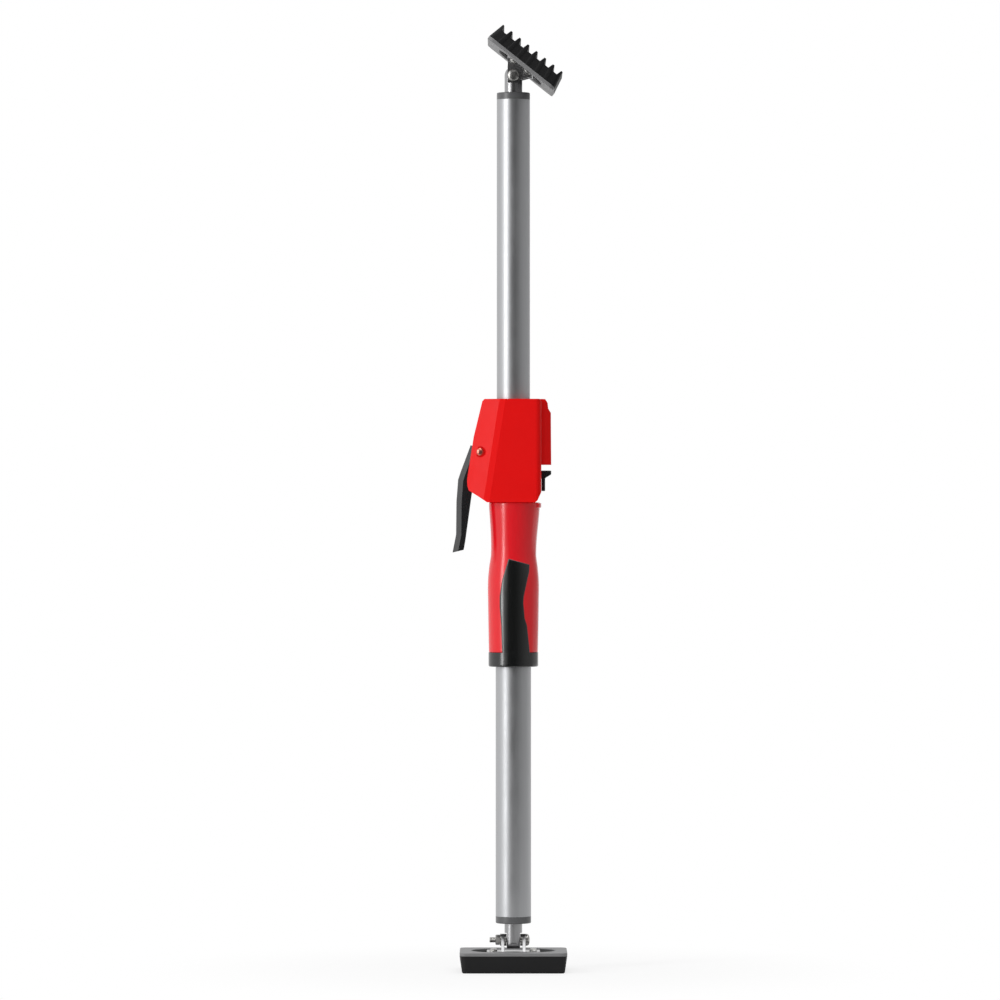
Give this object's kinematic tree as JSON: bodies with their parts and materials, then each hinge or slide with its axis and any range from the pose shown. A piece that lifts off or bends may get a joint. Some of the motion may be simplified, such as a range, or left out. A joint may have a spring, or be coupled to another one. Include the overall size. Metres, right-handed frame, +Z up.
{
  "type": "telescopic support pole",
  "caption": "Telescopic drywall support pole: two steel tubes, a red pump and clamp housing with a black lever, a soft grip and a swivelling ridged pad at each end.",
  "frame": {"origin": "On the pole's axis, in the plane of the foot pad's ridge tips, which is the surface that the pole stands on", "axes": "+Z runs up the pole's axis from the foot to the head. The pump lever is on the -X side and the release tab on the +X side. -Y is the front, which the picture shows. The foot pivots about X and the head about Y in the stored pose."},
  "size_m": [0.1035, 0.097, 0.8527],
  "materials": {
    "pad_rubber": "matt moulded black rubber",
    "plate_plastic": "matt mid-grey moulded plastic",
    "plated_steel": "zinc-plated pressed and turned steel, satin",
    "fastener_steel": "zinc-plated fasteners, satin",
    "tube_steel": "zinc-plated drawn tube, satin to bright",
    "cap_plastic": "dark grey moulded plastic",
    "black_plastic": "black moulded plastic, low sheen",
    "white_plastic": "natural white plastic",
    "grip_red": "red moulded grip, satin",
    "inlay_black": "black soft grip rubber",
    "housing_red": "red moulded plastic, satin gloss",
    "screw_black": "blackened steel screws",
    "pin_bronze": "steel pin with a warm yellow passivate",
    "hardened_steel": "oiled hardened steel",
    "spring_steel": "bright spring wire"
  },
  "bodies": {
    "pole": {"foot_stem": "plated_steel", "foot_cap": "cap_plastic", "outer_tube": "tube_steel", "tube_guide": "black_plastic", "grip_sleeve": "grip_red", "grip_inlay": "inlay_black", "housing_front": "housing_red", "housing_rear": "housing_red", "housing_screws": "screw_black", "mechanism_frame": "plated_steel", "lever_pin": "pin_bronze", "drive_spring": "spring_steel", "lock_spring": "spring_steel"},
    "foot": {"foot_pad": "pad_rubber", "foot_plate": "plate_plastic", "foot_bracket": "plated_steel", "foot_rivets": "plated_steel", "foot_bolt": "fastener_steel", "foot_nut": "fastener_steel", "foot_washers": "fastener_steel"},
    "glide": {"tube_glide": "white_plastic"},
    "extension": {"inner_tube": "tube_steel", "head_cap": "cap_plastic", "head_stem": "plated_steel"},
    "head": {"head_pad": "pad_rubber", "head_plate": "plate_plastic", "head_bracket": "plated_steel", "head_rivets": "plated_steel", "head_bolt": "fastener_steel", "head_nut": "fastener_steel", "head_washers": "fastener_steel"},
    "lever": {"pump_lever": "black_plastic"},
    "drive": {"drive_plate": "hardened_steel"},
    "lock": {"lock_plates": "hardened_steel"},
    "release": {"release_slider": "black_plastic"}
  },
  "joints": [
    {"name": "foot_tilt", "type": "hinge", "parent": "pole", "child": "foot", "pos_m": [0, 0, 0.028], "axis": [1, 0, 0], "range_deg": [-45, 45]},
    {"name": "extension_slide", "type": "slide", "parent": "pole", "child": "glide", "axis": [0, 0, 1], "range_m": [-0.2625, 0.1075]},
    {"name": "tube_spin", "type": "hinge", "parent": "glide", "child": "extension", "pos_m": [0, 0, 0.3265], "axis": [0, 0, 1], "continuous": true},
    {"name": "head_tilt", "type": "hinge", "parent": "extension", "child": "head", "pos_m": [0, 0, 0.8095], "axis": [0, 1, 0], "range_deg": [-83.5, 6.5]},
    {"name": "pump_lever", "type": "hinge", "parent": "pole", "child": "lever", "pos_m": [-0.0298, 0, 0.4693], "axis": [0, -1, 0], "range_deg": [0, 14.5], "stiffness_Nm_per_rad": 0.25, "springref_deg": -11.46},
    {"name": "drive_lift", "type": "slide", "parent": "pole", "child": "drive", "axis": [0, 0, 1], "range_m": [0, 0.003], "deforming": ["drive_spring"]},
    {"name": "release", "type": "slide", "parent": "pole", "child": "release", "axis": [0, 0, 1], "range_m": [0, 0.0042], "stiffness_N_per_m": 150, "springref_m": -0.006},
    {"name": "lock_tilt", "type": "hinge", "parent": "pole", "child": "lock", "pos_m": [-0.026, 0, 0.493], "axis": [0, 1, 0], "range_deg": [-5.1, 0], "deforming": ["lock_spring"]}
  ],
  "couplings": [
    {"joint": "pump_lever", "follows": "drive_lift", "rad_per_m": 84.35},
    {"joint": "lock_tilt", "follows": "release", "rad_per_m": -20.778}
  ]
}
